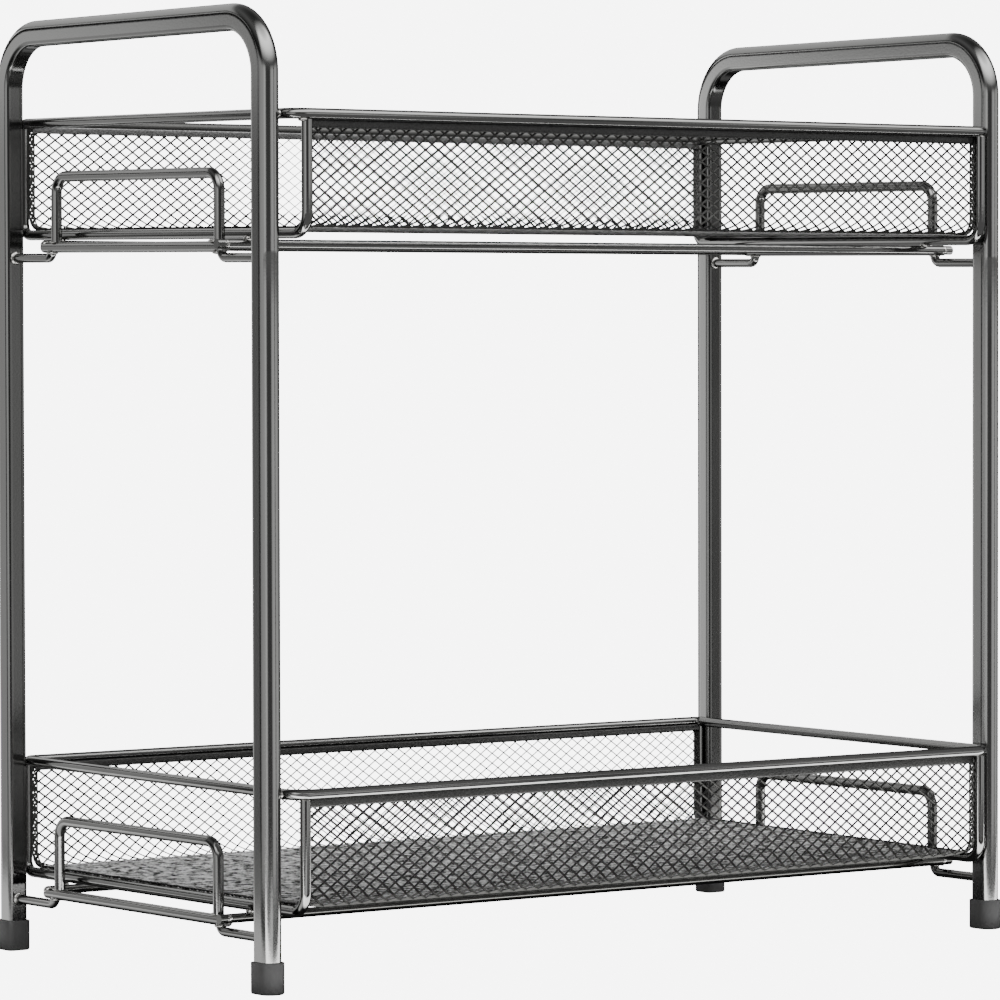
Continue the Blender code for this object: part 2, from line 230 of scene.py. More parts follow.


# %% [markdown]
# ** Dark nickel plate.** The tube and the wires carry the same bright plating: nearly
# black where it mirrors something dark and almost white where it mirrors a lamp. That is
# a metal with a dark, slightly warm base colour and a low roughness. Plating is never
# perfectly even, so a slow noise moves the colour and the roughness a little, and a
# fine one adds the faint orange-peel that keeps its highlights from looking drawn. A
# picture of metal could do it too, but nodes stay sharp at any distance and need no
# unwrapping. The flat side of the tube, the wires under the trays and the upper tray's back
# rail carry painted shade: their base colour is darker than the rest. The wires under the
# trays and the back rail are rougher too.

# %% The plated finish for tube and wire
def plate(name, dark, light, rough_low, rough_high, grain):
    finish = Finish(name)
    spot = finish.place()
    slow = finish.noise(spot, 18.0)
    finish.set(Base_Color=finish.shades(slow, dark, light), Metallic=1.0)
    finish.set(Roughness=slow * (rough_high - rough_low) + rough_low)
    finish.grain(spot, grain)
    return finish.material


def tube_finish():
    """Like the other plates, with painted shade: a darker base colour on the flat that faces into the U."""
    finish = Finish("tube_plate")
    spot = finish.place()
    slow = finish.noise(spot, 18.0)
    _, along, up = finish.parts(spot)
    # How far out a place lies from the inner flat, in the posts, the top bar and the bends
    across = ((along - SHIFT).size() - (POST_Y - FRAME_BEND)).larger(0.0)
    over = (up - (RACK_HEIGHT - TUBE_DEPTH / 2 - FRAME_BEND)).larger(0.0)
    out = (across * across + over * over).root() - (FRAME_BEND - TUBE_DEPTH / 2)
    # face paints shade: it darkens the base colour towards the flat that faces into the U
    face = finish.between(out, 0.0002, 0.0009, 0.0, 0.8)
    finish.set(Base_Color=finish.shades(face + slow * 0.2, (0.09, 0.09, 0.088), (0.27, 0.27, 0.265)), Metallic=1.0)
    finish.set(Roughness=slow * 0.06 + 0.11)
    finish.grain(spot, 900.0, 0.05)
    return finish.material


tube_plate = tube_finish()
wire_plate = plate("wire_plate", (0.19, 0.19, 0.186), (0.25, 0.25, 0.245), 0.08, 0.14, 1200.0)
# The wires under the trays get darker colours, painted shade from the trays above, and more roughness
under_plate = plate("under_plate", (0.09, 0.09, 0.086), (0.13, 0.13, 0.125), 0.12, 0.2, 1200.0)


def upper_rim_finish():
    """Like the other wires in front, with painted shade along the back rail: a darker base colour there, and more
    roughness.
    """
    finish = Finish("upper_rim_plate")
    spot = finish.place()
    # The mask darkens the back rail's colour, which is painted shade, and raises its roughness
    back = finish.between(finish.parts(spot)[1], 0.088, 0.098)
    finish.set(Base_Color=finish.shades(back, (0.22, 0.22, 0.215), (0.11, 0.11, 0.107)), Metallic=1.0)
    finish.set(Roughness=back * 0.38 + 0.11)
    finish.grain(spot, 1200.0)
    return finish.material


RIM_FINISH = {"lower": wire_plate, "upper": upper_rim_finish()}
print(tube_plate.name, wire_plate.name, under_plate.name, RIM_FINISH["upper"].name)

# %% [markdown]
# ** The mesh** is cut from thin sheet, and its edges are rough from the cutting, so the
# same plating looks darker and duller on it. The folded edges of the sheet show a mottled
# pattern, where the flattened net lies in two layers. The floors carry painted glints in
# patches, bright where the uneven sheet would mirror light, and the back walls carry painted
# light and shade: dark at the left end and, in the upper tray, low in the bend, and lighter
# from a little left of the middle on. Each of these could be a painted mask. A noise or a
# plain place along the sheet says the same in one number.

# %% The duller finishes for net and folded edges
net_plate = plate("net_plate", (0.035, 0.035, 0.034), (0.065, 0.065, 0.062), 0.36, 0.48, 1500.0)


def painted_glint_floor_finish(name, light):
    """The net of a floor, with painted glints: bright in patches and dark between them."""
    finish = Finish(name)
    spot = finish.place()
    # The noise paints glints in patches: painted highlights where the sheet would mirror light
    glint_patches = finish.between(finish.noise(spot, 300.0), 0.36, 0.64)
    finish.set(Base_Color=finish.shades(glint_patches, (0.06, 0.06, 0.057), light), Metallic=1.0)
    finish.set(Roughness=glint_patches * 0.14 + 0.34)
    finish.grain(spot, 400.0, 0.3, 0.0003)
    return finish.material


FLOOR_FINISH = {"lower": painted_glint_floor_finish("lower_floor_plate", 0.93),
                "upper": painted_glint_floor_finish("upper_floor_plate", 0.28)}


def folded_edge_finish(name, light):
    """A hem, with the net's small cells pressed into it."""
    finish = Finish(name)
    spot = finish.place()
    cells = finish.node("ShaderNodeTexVoronoi", {"feature": "F1"}, {"Vector": spot, "Scale": 900.0})
    grain = finish.noise(spot, 1400.0, 2.0)
    slow = finish.noise(spot, 60.0)
    finish.set(Base_Color=finish.shades(grain, (0.025, 0.025, 0.023), light), Metallic=1.0)
    finish.set(Roughness=slow * 0.2 + 0.30)
    finish.set(Normal=finish.bump(cells, 0.5, 0.0002))
    return finish.material


edge_plate = folded_edge_finish("folded_edge_plate", 0.11)
# The upper tray's back hem is given a lighter tone than the other hems
rubbed_edge_plate = folded_edge_finish("rubbed_edge_plate", 0.34)


def back_net_finish(name, painted_light_tone, painted_light_span, above):
    """The net of a back wall, with painted light and shade: dark at its left end and below a height, and lighter
    elsewhere.
    """
    finish = Finish(name)
    spot = finish.place()
    along, _, up = finish.parts(spot)
    # The mask paints light: it lightens the net from a little left of the middle on and above the given height;
    # elsewhere the net stays dark, painted shade
    painted_light_mask = finish.between(along, *painted_light_span, 0.0, 0.8) * finish.between(up, above, above + 0.001)
    slow = finish.noise(spot, 60.0)
    finish.set(Base_Color=finish.shades(painted_light_mask + slow * 0.2, (0.04, 0.04, 0.038), painted_light_tone))
    finish.set(Metallic=1.0, Roughness=slow * 0.12 + 0.36)
    finish.grain(spot, 1500.0)
    return finish.material


BACK_FINISH = {"lower": back_net_finish("lower_back_plate", 0.10, (-0.10, -0.02), 0.0),
               "upper": back_net_finish("upper_back_plate", 0.36, (-0.075, -0.035), 0.3185)}
print(net_plate.name, edge_plate.name, len(FLOOR_FINISH), len(BACK_FINISH))

# %% [markdown]
# ** Weld beads** are small and round, and take the same plate with lighter colours: a
# painted glint, so that they look brighter than what they join. **The feet** are moulded
# plastic: dark grey, not a metal, with the fine, even grain of a spark-eroded mould. Real
# grain is too small to model, so it is a bump from a fine noise.

# %% Weld and plastic
# The lighter colours of the weld beads are a painted glint
bead_plate = plate("bead_plate", (0.40, 0.395, 0.38), (0.62, 0.61, 0.59), 0.12, 0.3, 700.0)


def moulded_plastic():
    finish = Finish("moulded_plastic")
    spot = finish.place()
    slow = finish.noise(spot, 90.0)
    finish.set(Base_Color=finish.shades(slow, 0.03, 0.045), Metallic=0.0)
    finish.set(Roughness=slow * 0.15 + 0.42)
    finish.grain(spot, 2600.0, 0.25)
    return finish.material


foot_plastic = moulded_plastic()
print(bead_plate.name, foot_plastic.name)

# %% [markdown]
# Blender's operators work on whatever is selected, and loading the frame left its nodes
# selected. So each piece starts by deselecting everything, and ends in one place: its
# transform applied, smooth shading on, a finish given, its ride on the rack's only body,
# its material slot, and the node of the frame that it stands in for.

# %% Starting and ending a piece
def clean_start():
    if bpy.context.object and bpy.context.object.mode != "OBJECT":
        bpy.ops.object.mode_set(mode="OBJECT")
    bpy.ops.object.select_all(action="DESELECT")


def end_piece(name, material, nodes=(), sharp=40.0):
    piece = bpy.context.object
    if piece.mode != "OBJECT":
        bpy.ops.object.mode_set(mode="OBJECT")
    piece.name = piece.data.name = name
    bpy.ops.object.transform_apply(location=True, rotation=True, scale=True)
    bpy.ops.object.shade_smooth_by_angle(angle=math.radians(sharp))
    piece.data.materials.clear()
    piece.data.materials.append(material)
    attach(piece, "root")
    if nodes:
        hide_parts(*nodes)
    return piece


# %% Picking vertices or edges by their place
def pick(kind, wanted):
    bpy.ops.mesh.select_mode(type=kind)
    bpy.ops.mesh.select_all(action="DESELECT")
    bpy.ops.object.mode_set(mode="OBJECT")
    shape = bpy.context.object.data
    for item in shape.vertices if kind == "VERT" else shape.edges:
        ends = [item] if kind == "VERT" else [shape.vertices[end] for end in item.vertices]
        item.select = wanted(*[end.co for end in ends])
    bpy.ops.object.mode_set(mode="EDIT")


# %% [markdown]
# **Bent wire and tube.** A bending machine pushes straight stock forwards and turns it
# about a former at each corner. The model is made the same way: one ring of edges, the
# section, is extruded along each straight and spun about the centre of each bend. The
# corners are given as points with radii, and this works out the pushes and turns. A curve
# with a round bevel would give much the same shape. Pushing and turning a ring is chosen
# because every bend gets its true radius, and because it also bends tube that isn't round.

# %% Pushes and turns along a route
def moves_along(corners, radii, closed=False):
    points = [Vector(corner) for corner in corners]
    here, moves = points[0], []
    count = len(points)
    order = list(range(1, count)) + ([0] if closed else [])
    for index in order:
        corner = points[index]
        radius = radii[index]
        if radius == 0.0:
            moves.append(("push", corner - here))
            here = corner
            continue
        into = (corner - points[index - 1]).normalized()
        out = (points[(index + 1) % count] - corner).normalized()
        bend = into.angle(out)
        setback = radius * math.tan(bend / 2)
        start = corner - into * setback
        moves.append(("push", start - here))
        axis = into.cross(out).normalized()
        moves.append(("turn", bend, start + axis.cross(into) * radius, axis))
        here = corner + out * setback
    return moves


# %% Bending the section along its route
MERGE = 0.00001


def bend_stock(moves, steps, closed=False):
    for move in moves:
        if move[0] == "push":
            bpy.ops.mesh.extrude_region_move(TRANSFORM_OT_translate={"value": tuple(move[1])})
        else:
            bpy.ops.mesh.spin(steps=steps, angle=-move[1], center=tuple(move[2]), axis=tuple(move[3]),
                              use_auto_merge=False)
    bpy.ops.mesh.select_all(action="SELECT")
    bpy.ops.mesh.remove_doubles(threshold=MERGE)
    if not closed:
        bpy.ops.mesh.select_all(action="SELECT")
        bpy.ops.mesh.fill_holes(sides=0)
        bpy.ops.mesh.select_all(action="SELECT")
    bpy.ops.mesh.normals_make_consistent(inside=False)


# %% Round wire
def wire(name, corners, radii, diameter, node, closed=False, sides=20, steps=8, finish=None):
    clean_start()
    moves = moves_along(corners, radii, closed)
    heading = moves[0][1].normalized()
    tilt = heading.to_track_quat("Z", "X").to_euler()
    bpy.ops.mesh.primitive_circle_add(vertices=sides, radius=diameter / 2, location=corners[0], rotation=tilt)
    bpy.ops.object.mode_set(mode="EDIT")
    bpy.ops.mesh.select_all(action="SELECT")
    bend_stock(moves, steps, closed)
    return end_piece(name, finish or wire_plate, [node] if node else [])


# %% [markdown]
# **Rim wires.** Each tray hangs from a closed rectangle of the thickest wire. Its front
# rail stands proud of the front posts, its back rail runs between the back posts, and the
# corners are rounder at the front. A closed loop starts in the middle of a rail, so that
# the ring comes back to where it began and can be merged with it.

# %% The rims
RIM_BENDS = [0.0, 0.008, 0.004, 0.004, 0.008]


def rim_corners(base):
    z = base + RIM_UP
    front, back = RIM_FRONT + SHIFT, RIM_BACK + SHIFT
    return [(0.0, front, z), (RIM_X, front, z), (RIM_X, back, z), (-RIM_X, back, z), (-RIM_X, front, z)]


for tier, base in TIERS.items():
    made = wire(f"{tier}_rim", rim_corners(base), RIM_BENDS, RIM_WIRE, f"{tier}_rim_wire", closed=True, sides=24,
                finish=RIM_FINISH[tier])
    print(made.name, [round(v, 4) for v in made.dimensions])

# %% [markdown]
# **The base of a tray** is four straight wires. Two side wires lie between the posts, and
# two cross wires carry the floor of the net. In front the cross wire runs on a little past
# the side wires, and its cut ends show. A closed loop would have bent corners, which the
# real base hasn't, so there are four straight runs. They are joined, as they are welded.

# %% Joining pieces into one
def join_pieces(name, pieces, node=None):
    clean_start()
    for piece in pieces:
        piece.select_set(True)
    bpy.context.view_layer.objects.active = pieces[0]
    bpy.ops.object.join()
    joined = bpy.context.object
    joined.name = joined.data.name = name
    if node:
        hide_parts(node)
    return joined


# %% The base wires
CROSS_PAST, SIDE_PAST = 0.0045, 0.0006
for tier, base in TIERS.items():
    near, far = -BASE_Y + SHIFT, BASE_Y + SHIFT
    end, low = far + SIDE_PAST, {side: base - drop for side, drop in SIDE_DROP.items()}
    past = POST_X + CROSS_PAST
    runs = {
        "front": [(-past, near, base), (past, near, base)],
        "back": [(-POST_X, far, base), (POST_X, far, base)],
        "left": [(-POST_X, near, low["left"]), (-POST_X, end, low["left"])],
        "right": [(POST_X, near, low["right"]), (POST_X, end, low["right"])],
    }
    wires = []
    for run, ends in runs.items():
        # The side wires and the upper front cross wire keep the plain plate; the other cross wires take the darker
        # one, which is painted shade
        unshaded = run in SIDES or (tier, run) == ("upper", "front")
        gauge, finish = GUARD_WIRE if run in SIDES else THIN_WIRE, wire_plate if unshaded else under_plate
        wires.append(wire(f"{tier}_base_{run}", ends, [0.0, 0.0], gauge, None, finish=finish))
    made = join_pieces(f"{tier}_base", wires, f"{tier}_base_loop")
    print(made.name, [round(v, 4) for v in made.dimensions])

# %% [markdown]
# **End wires** are bent to a U and close the two ends of each net from outside. They are
# splayed, so their front legs stand further in than their back legs. **Side guards** are
# low hoops that stand on the side wires between the posts and keep jars from sliding out.
# Both are round wire again, so they only need their corners. On the real rack one guard leg
# and the bracket below it are welded 2.5 mm further forward than the others.

# %% End wires and side guards
BAR_UP = {"lower": 0.0307, "upper": 0.0290}
END_BENDS = [0.0, 0.008, 0.005, 0.0]
GUARD_FRONT, GUARD_BACK = -0.062, 0.060
GUARD_BENDS = [0.0, 0.007, 0.007, 0.0]
FORWARD = {("upper", "left"): 0.0025}
for tier, base in TIERS.items():
    top, bottom = base + RIM_UP - RIM_WIRE / 2, base + END_UP
    bar = base + BAR_UP[tier]
    for side, sign in SIDES.items():
        front, back = END_FRONT + SHIFT, END_BACK + SHIFT
        near_x, far_x = sign * end_x(front), sign * end_x(back)
        route = [(near_x, front, top), (near_x, front, bottom), (far_x, back, bottom), (far_x, back, top)]
        wire(f"{tier}_{side}_tray_end", route, END_BENDS, RIM_WIRE, f"{tier}_{side}_end_wire")
        foot = base - SIDE_DROP[side] + GUARD_WIRE / 2
        x, near, far = sign * POST_X, GUARD_FRONT + SHIFT - FORWARD.get((tier, side), 0.0), GUARD_BACK + SHIFT
        wire(f"{tier}_{side}_hoop", [(x, near, foot), (x, near, bar), (x, far, bar), (x, far, foot)],
             GUARD_BENDS, GUARD_WIRE, f"{tier}_{side}_side_guard")
print("end wires and hoops: 8")

# %% [markdown]
# **Brackets.** Eight short wires run from the flats of the posts and turn up under the
# side wires. They carry the trays. Each is one bend, made like the longer wires but with
# fewer steps, because its radius is small.

# %% The brackets
BRACKET_BENDS = [0.0, 0.0034, 0.0]
for tier, base in TIERS.items():
    for side, sign in SIDES.items():
        for face, facing in FACES.items():
            z, x = base - BRACKET_DROP, sign * POST_X
            start = facing * (POST_Y - TUBE_DEPTH / 2) + SHIFT
            reach = facing * BRACKET_REACH + SHIFT - (FORWARD.get((tier, side), 0.0) if face == "front" else 0.0)
            wire(f"{tier}_{face}_{side}_stub", [(x, start, z), (x, reach, z), (x, reach, base - THIN_WIRE / 2)],
                 BRACKET_BENDS, THIN_WIRE, f"{tier}_{face}_{side}_bracket", steps=6)
print("brackets: 8")

# %% [markdown]
# **End frames.** The tube isn't round: its outer side is a full dome and its inner side
# is flat with small radii. The section starts as a plane of the tube's width and depth.
# Bevelling its two outer corners by half the width makes the dome, and bevelling the two
# inner ones lightly makes the flat side. The face is then deleted, which leaves the ring
# of edges that is pushed up, over and down. A scaled circle would be quicker, but its
# sides would be round where the real tube is flat.

# %% The tube's section
DOME_STEPS, FLAT_RADIUS, FLAT_STEPS = 10, 0.0017, 4


def tube_section(x, y, z, grow=0.0):
    clean_start()
    bpy.ops.mesh.primitive_plane_add(size=1.0, location=(x, y, z))
    bpy.ops.object.mode_set(mode="EDIT")
    bpy.ops.mesh.select_mode(type="VERT")
    bpy.ops.mesh.select_all(action="SELECT")
    bpy.ops.transform.resize(value=(TUBE_WIDTH + 2 * grow, TUBE_DEPTH + 2 * grow, 1.0))


def split_flats():
    """Cuts the flats across, so that smooth shading leaves them flat between the corners."""
    pick("EDGE", lambda first, last: (first - last).length > 0.002)
    bpy.ops.mesh.subdivide(number_cuts=7)
    bpy.ops.mesh.select_all(action="SELECT")


def round_corners(outwards, radius, segments):
    pick("VERT", lambda corner: corner.y * outwards > 0.4 * TUBE_DEPTH)
    bpy.ops.mesh.bevel(affect="VERTICES", offset=radius, segments=segments)
    bpy.ops.mesh.select_all(action="SELECT")
    bpy.ops.mesh.remove_doubles(threshold=MERGE)


# %% The two end frames
TUBE_FOOT = 0.0023
for side, sign in SIDES.items():
    x, front, back = sign * POST_X, -POST_Y + SHIFT, POST_Y + SHIFT
    foot, top = TUBE_FOOT, RACK_HEIGHT - TUBE_DEPTH / 2
    tube_section(x, front, foot)
    round_corners(-1, TUBE_WIDTH / 2, DOME_STEPS)
    round_corners(1, FLAT_RADIUS, FLAT_STEPS)
    bpy.ops.mesh.delete(type="ONLY_FACE")
    split_flats()
    route = [(x, front, foot), (x, front, top), (x, back, top), (x, back, foot)]
    bend_stock(moves_along(route, [0.0, FRAME_BEND, FRAME_BEND, 0.0]), 20)
    made = end_piece(f"{side}_hoop_frame", tube_plate, [f"{side}_end_frame"])
    print(made.name, [round(v, 4) for v in made.dimensions])

# %% [markdown]
# **Feet.** A moulded cap is pushed over each end of the tubes. It follows the tube's
# section a little larger, its top edge is a thin lip round the tube, and its bottom edge
# is rounded so that it doesn't mark the table. A boolean could hollow it. An inset and an
# extrusion downwards are cleaner, and leave faces that a bevel can follow.

# %% The four feet
CAP_WALL, CAP_HEIGHT, CAP_LIP, CAP_HOLLOW = 0.00125, 0.013, 0.00105, 0.0107
SOLE_ROUND, LIP_ROUND = 0.0009, 0.0003


def foot_cap(name, x, y, facing, node):
    tube_section(x, y, 0.0, CAP_WALL)
    round_corners(facing, TUBE_WIDTH / 2 + CAP_WALL, DOME_STEPS)
    round_corners(-facing, FLAT_RADIUS + CAP_WALL, FLAT_STEPS)
    bpy.ops.mesh.select_all(action="SELECT")
    bpy.ops.mesh.extrude_region_move(TRANSFORM_OT_translate={"value": (0.0, 0.0, CAP_HEIGHT)})
    bpy.ops.mesh.inset(thickness=CAP_LIP)
    bpy.ops.mesh.extrude_region_move(TRANSFORM_OT_translate={"value": (0.0, 0.0, -CAP_HOLLOW)})
    pick("EDGE", lambda first, last: max(first.z, last.z) < 0.0001)
    bpy.ops.mesh.bevel(affect="EDGES", offset=SOLE_ROUND, segments=3)
    pick("EDGE", lambda first, last: min(first.z, last.z) > CAP_HEIGHT - 0.0001)
    bpy.ops.mesh.bevel(affect="EDGES", offset=LIP_ROUND, segments=2)
    bpy.ops.mesh.select_all(action="SELECT")
    bpy.ops.mesh.normals_make_consistent(inside=False)
    return end_piece(name, foot_plastic, [node], sharp=30.0)


for side, sign in SIDES.items():
    for face, facing in FACES.items():
        made = foot_cap(f"{face}_{side}_foot", sign * POST_X, facing * POST_Y + SHIFT, facing,
                        f"foot_cap_{face}_{side}")
print("last foot", [round(v, 4) for v in made.dimensions])

# %% [markdown]
# **The net.** Expanded metal is one thin sheet, slit and stretched until it opens into
# diamonds, then bent to a U. Drawing fourteen thousand strands one by one would be
# hopeless, but a grid gives them all at once. Poking every square puts a point in its
# middle, and dissolving the grid's own lines leaves a diamond round each of them. Each
# row of points is then carried to its place along the bent section, and a Wireframe
# modifier gives the diamonds' sides their thickness.

# %% Where a point of the flat sheet lies once it is bent
NET_OUT = THIN_WIRE / 2 + 0.0004
NET_FLOOR = 0.0072
NET_BEND = 0.0062
WALL = RIM_UP - RIM_WIRE / 2 - NET_FLOOR - NET_BEND
LEVEL = END_BACK - END_FRONT - 2 * NET_OUT - 2 * NET_BEND
ARC = NET_BEND * math.pi / 2
SHEET = 2 * WALL + 2 * ARC + LEVEL


def bent_place(along, base):
    front, back = END_FRONT + SHIFT + NET_OUT, END_BACK + SHIFT - NET_OUT
    floor, top = base + NET_FLOOR, base + RIM_UP - RIM_WIRE / 2
    if along < WALL:
        return front, top - along
    along -= WALL
    if along < ARC:
        angle = along / NET_BEND
        return front + NET_BEND * (1 - math.cos(angle)), floor + NET_BEND * (1 - math.sin(angle))
    along -= ARC
    if along < LEVEL:
        return front + NET_BEND + along, floor
    along -= LEVEL
    if along < ARC:
        angle = along / NET_BEND
        return back - NET_BEND * (1 - math.sin(angle)), floor + NET_BEND * (1 - math.cos(angle))
    return back, floor + NET_BEND + along - ARC


print("flat sheet", round(SHEET, 4))

# %% How the floor sags and rests on the end wires
NET_SAG = {"lower": (0.0015, 0.0006), "upper": (0.0001, 0.0001)}
NET_DROP = 0.0004
SAG_FROM, SAG_OVER = 0.003, 0.010


def drop_at(x, y, z, tier):
    """How far a point of the net lies below the bent sheet: most in the floor, nothing in the walls."""
    floor_share = 1.0 - share((z - TIERS[tier] - NET_FLOOR) / NET_BEND)
    inward = share((end_x(y) - SAG_FROM - abs(x)) / SAG_OVER)
    front_sag, back_sag = NET_SAG[tier]
    sag = front_sag + (back_sag - front_sag) * (y - SHIFT - END_FRONT) / (END_BACK - END_FRONT)
    return (sag * inward + NET_DROP * (1.0 - inward)) * floor_share


print("drop in the middle of the lower floor", drop_at(0.0, SHIFT, TIERS["lower"] + NET_FLOOR, "lower"))

# %% The thinner strands of a back wall
THIN_SHARE = {"lower": 0.65, "upper": 0.42}
THIN_FROM = {"lower": (-0.03, 0.15), "upper": (-0.04, 0.06)}


def thin_strands(sheet, tier, strands):
    """Full width at the left end, and in the upper tray's bend, and a share of it elsewhere."""
    edge, spread = THIN_FROM[tier]
    bend_top = TIERS[tier] + NET_FLOOR + NET_BEND + 0.001
    wide = sheet.vertex_groups.new(name="wide")
    for vertex in sheet.data.vertices:
        in_bend = tier == "upper" and vertex.co.z < bend_top
        wide.add([vertex.index], 1.0 if in_bend else share((edge - vertex.co.x) / spread), "REPLACE")
    strands.vertex_group, strands.thickness_vertex_group = "wide", THIN_SHARE[tier]


# %% A stretch of net
def net(name, tier, first, last, columns, rows, reach, strand, finish, node=None):
    """Diamonds from one place along the sheet to another; reach gives both ends in X at a depth."""
    clean_start()
    bpy.ops.mesh.primitive_grid_add(x_subdivisions=columns, y_subdivisions=rows, size=1.0, location=(0.0, 0.0, 0.0))
    bpy.ops.object.mode_set(mode="EDIT")
    bpy.ops.mesh.select_all(action="SELECT")
    bpy.ops.mesh.poke()
    half = 0.5 - 1e-5

    def grid_line(start, end):
        level, upright = abs(start.y - end.y) < 1e-6, abs(start.x - end.x) < 1e-6
        outer = (level and abs(start.y) > half) or (upright and abs(start.x) > half)
        return (level or upright) and not outer

    pick("EDGE", grid_line)
    bpy.ops.mesh.dissolve_edges(use_verts=False)
    bpy.ops.object.mode_set(mode="OBJECT")
    sheet = bpy.context.object
    for vertex in sheet.data.vertices:
        y, z = bent_place(first + (vertex.co.y + 0.5) * (last - first), TIERS[tier])
        start, end = reach(y)
        x = start + (vertex.co.x + 0.5) * (end - start)
        vertex.co = (x, y, z - drop_at(x, y, z, tier))
    strands = sheet.modifiers.new("strands", "WIREFRAME")
    strands.thickness = strand
    if name.endswith("_back_net"):
        thin_strands(sheet, tier, strands)
    strands.offset = 0.0
    strands.use_even_offset = True
    strands.use_boundary = False
    bpy.ops.object.modifier_apply(modifier="strands")
    return end_piece(name, finish, [node] if node else [], sharp=30.0)


# %% [markdown]
# The sheet isn't even. Its strands are wider on the front wall than on the floor and the
# back wall, where it was stretched further, and the floor carries painted glints, bright in
# patches. So each net is made as three stretches of the same sheet, each with its own strand
# and finish. In the lower tray the floor sags a little between its ends.

# %% The two nets
COLUMNS, ROWS = 56, round(SHEET / 0.00455)
FLOOR_ROW = round((WALL + ARC) / SHEET * ROWS)
BACK_ROW = round((WALL + ARC + LEVEL) / SHEET * ROWS)
STRETCHES = {"front": (0, FLOOR_ROW), "floor": (FLOOR_ROW, BACK_ROW), "back": (BACK_ROW, ROWS)}
STRANDS = {"lower": {"front": 0.00095, "floor": 0.00070, "back": 0.00085},
           "upper": {"front": 0.00095, "floor": 0.00052, "back": 0.00085}}


NET_INSIDE = 0.0012


def whole_reach(y):
    return -end_x(y) + NET_INSIDE, end_x(y) - NET_INSIDE


for tier in TIERS:
    finishes = {"front": net_plate, "floor": FLOOR_FINISH[tier], "back": BACK_FINISH[tier]}
    for stretch, (start, stop) in STRETCHES.items():
        made = net(f"{tier}_{stretch}_net", tier, SHEET * start / ROWS, SHEET * stop / ROWS, COLUMNS, stop - start,
                   whole_reach, STRANDS[tier][stretch], finishes[stretch],
                   f"{tier}_mesh_basket" if stretch == "front" else None)
        print(made.name, "faces", len(made.data.polygons))

# %% [markdown]
# **Folded edges.** The cut edge of the sheet would scratch, so it is folded over. Along
# the two ends the two layers of diamonds don't line up, which leaves a narrow band with
# small holes that follows the U. The same net, two small columns wide, makes it. Along the
# top the fold is pressed flat to a hem: a bar with rounded edges, whose finish shows the
# cells that are too flat to model.

# %% The bands at the two ends of each net
BAND_INNER, BAND_OUTER = 0.0038, 0.0011
BAND_ROW, BAND_STRAND = 0.0029, 0.0009


def end_reach(sign):
    return lambda y: (sign * (end_x(y) - BAND_INNER), sign * (end_x(y) - BAND_OUTER))


for tier in TIERS:
    for side, sign in SIDES.items():
        net(f"{tier}_{side}_net_band", tier, 0.0, SHEET, 2, round(SHEET / BAND_ROW), end_reach(sign), BAND_STRAND,
            net_plate)
print("bands: 4")

# %% The hems, with their height and how far they stand up and forward of the sheet's edge
HEM_THICK, HEM_ROUND, HEM_INSIDE = 0.0015, 0.00068, 0.0022
HEMS = {"front": (0.0035, 0.0001, 0.0004), "back": (0.0031, 0.0012, 0.0009)}


def hem(tier, face):
    clean_start()
    height, up, forward = HEMS[face]
    top = TIERS[tier] + RIM_UP - RIM_WIRE / 2 + up
    wall = END_FRONT + SHIFT + NET_OUT if face == "front" else END_BACK + SHIFT - NET_OUT
    y = wall - forward
    bpy.ops.mesh.primitive_cube_add(size=1.0, location=(0.0, y, top - height / 2))
    bpy.ops.object.mode_set(mode="EDIT")
    bpy.ops.mesh.select_all(action="SELECT")
    bpy.ops.transform.resize(value=(2 * (end_x(y) - HEM_INSIDE), HEM_THICK, height))
    bpy.ops.mesh.bevel(affect="EDGES", offset=HEM_ROUND, segments=4)
    finish = rubbed_edge_plate if (tier, face) == ("upper", "back") else edge_plate
    return end_piece(f"{tier}_{face}_folded_hem", finish, [f"{tier}_{face}_hem"], sharp=50.0)


for tier in TIERS:
    for face in FACES:
        hem(tier, face)
print("hems: 4")

# %% [markdown]
# ** Welds.** Each joint has a small lump of weld metal under the plating. It shows as a
# bright glint, which the lump's lighter colours paint in. A lump is a ball, flattened
# towards the joint, with its surface pushed in and out a little by a seeded random, so that
# it looks the same each time. Melting the wires together with a remesh would blur their
# round sections, so the lumps are laid on.

# %% Beads of weld
def bead(place, size, seed):
    clean_start()
    bpy.ops.mesh.primitive_ico_sphere_add(subdivisions=3, radius=1.0, location=place, scale=size)
    bpy.ops.object.mode_set(mode="EDIT")
    bpy.ops.mesh.select_all(action="SELECT")
    bpy.ops.transform.vertex_random(offset=0.00009, uniform=0.0, seed=seed)
    bpy.ops.mesh.vertices_smooth(factor=0.5, repeat=1)
    return end_piece(f"bead_{seed}", bead_plate, sharp=60.0)


GUARD_LEG = (GUARD_BACK - GUARD_FRONT) / 2


